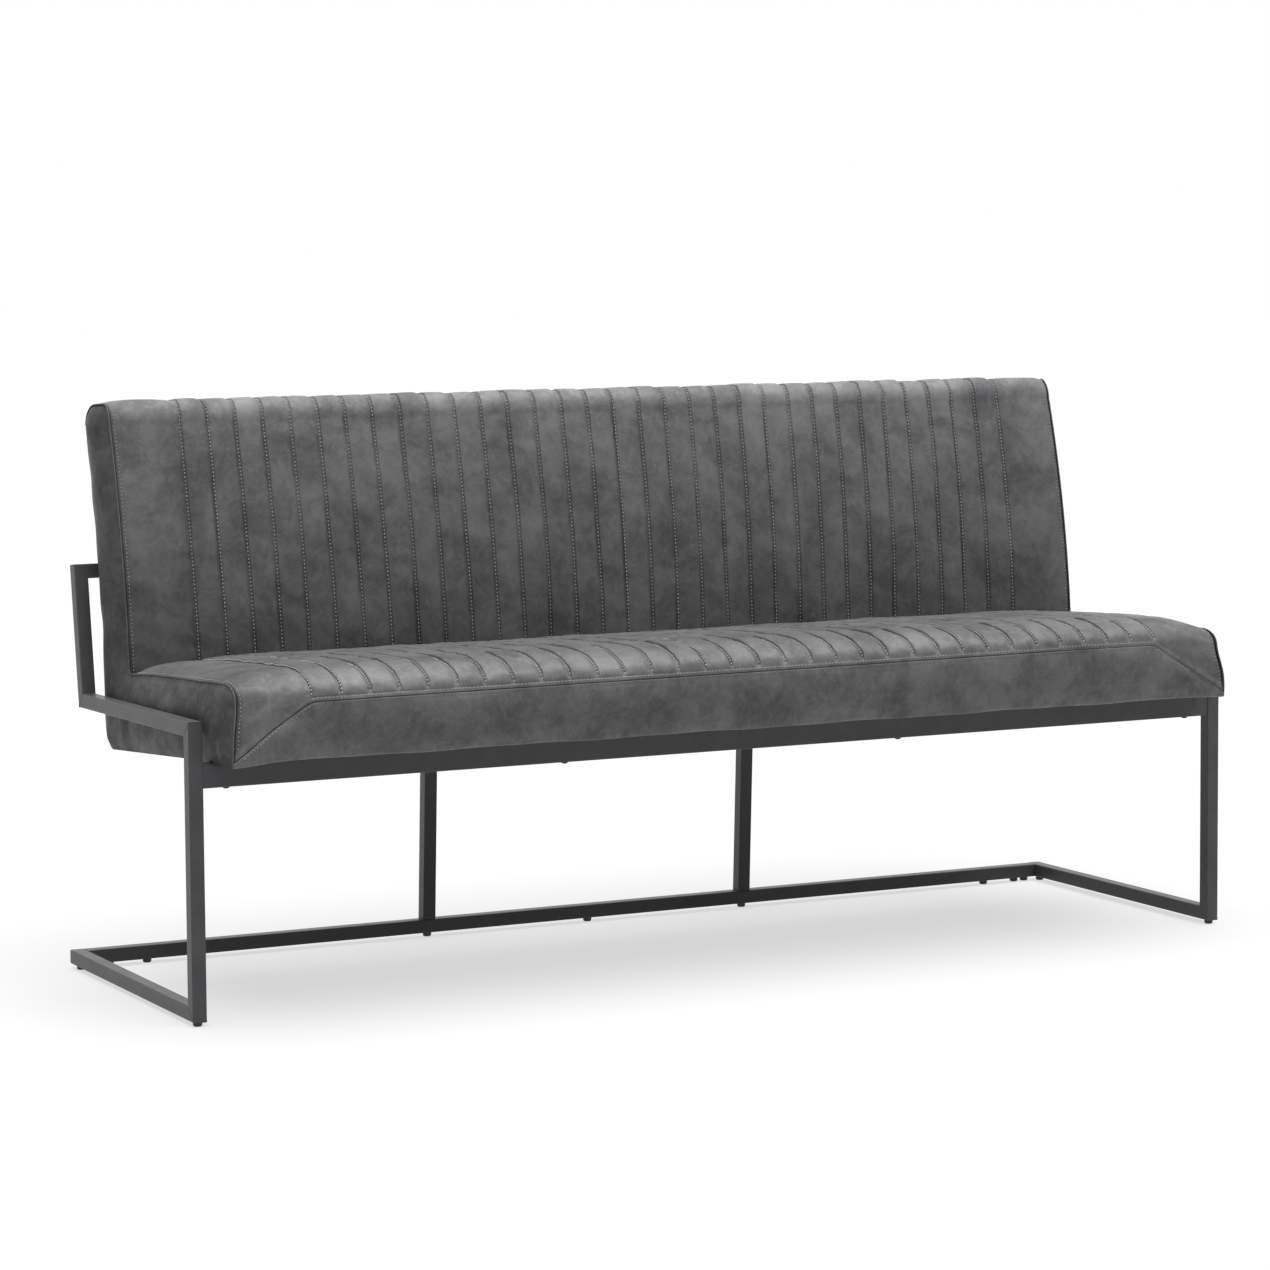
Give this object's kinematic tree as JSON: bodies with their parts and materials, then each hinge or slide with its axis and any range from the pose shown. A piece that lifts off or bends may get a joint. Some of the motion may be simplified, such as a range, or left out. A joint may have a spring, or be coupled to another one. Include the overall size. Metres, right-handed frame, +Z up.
{
  "type": "upholstered dining sofa",
  "caption": "Long dining sofa: leather shell of seat and back with sewn vertical channels, on a cantilevered frame of slim square steel tube.",
  "frame": {"origin": "bottom centre of the bounding box, on the floor midway between the side frames and midway between the seat's nose and the floor rails' rear ends", "axes": "+X runs along the sofa, to the right of someone who faces it from the front; -Y is the side that one sits on from; +Z is up"},
  "size_m": [1.8, 0.6356, 0.8902],
  "materials": {
    "steel": "satin anthracite powder coat",
    "black_steel": "black oxide",
    "zinc": "zinc plated",
    "glide_plastic": "matt black",
    "timber": "planed softwood and plywood, unfinished",
    "webbing": "woven elastic strap",
    "leather": "satin, mottled grey vintage look",
    "lining": "black non-woven"
  },
  "bodies": {
    "root": {"left_floor_rail": "steel", "right_floor_rail": "steel", "left_front_leg": "steel", "right_front_leg": "steel", "left_seat_rail": "steel", "right_seat_rail": "steel", "left_back_upright": "steel", "right_back_upright": "steel", "upper_back_rail": "steel", "rear_floor_rail": "steel", "front_seat_rail": "steel", "left_mid_leg": "steel", "right_mid_leg": "steel", "floor_rail_caps": "steel", "floor_glides": "glide_plastic", "back_bolts": "black_steel", "seat_bolts": "black_steel", "back_inserts": "zinc", "seat_inserts": "zinc", "seat_front_board": "timber", "seat_rear_board": "timber", "seat_joists": "timber", "seat_webbing": "webbing", "back_posts": "timber", "back_top_boards": "timber", "back_rail_boards": "timber", "back_plywood": "timber", "seat_cushion": "leather", "back_cushion": "leather", "front_band": "leather", "left_side_panel": "leather", "right_side_panel": "leather", "rear_panel": "leather", "underside_lining": "lining"}
  },
  "joints": []
}
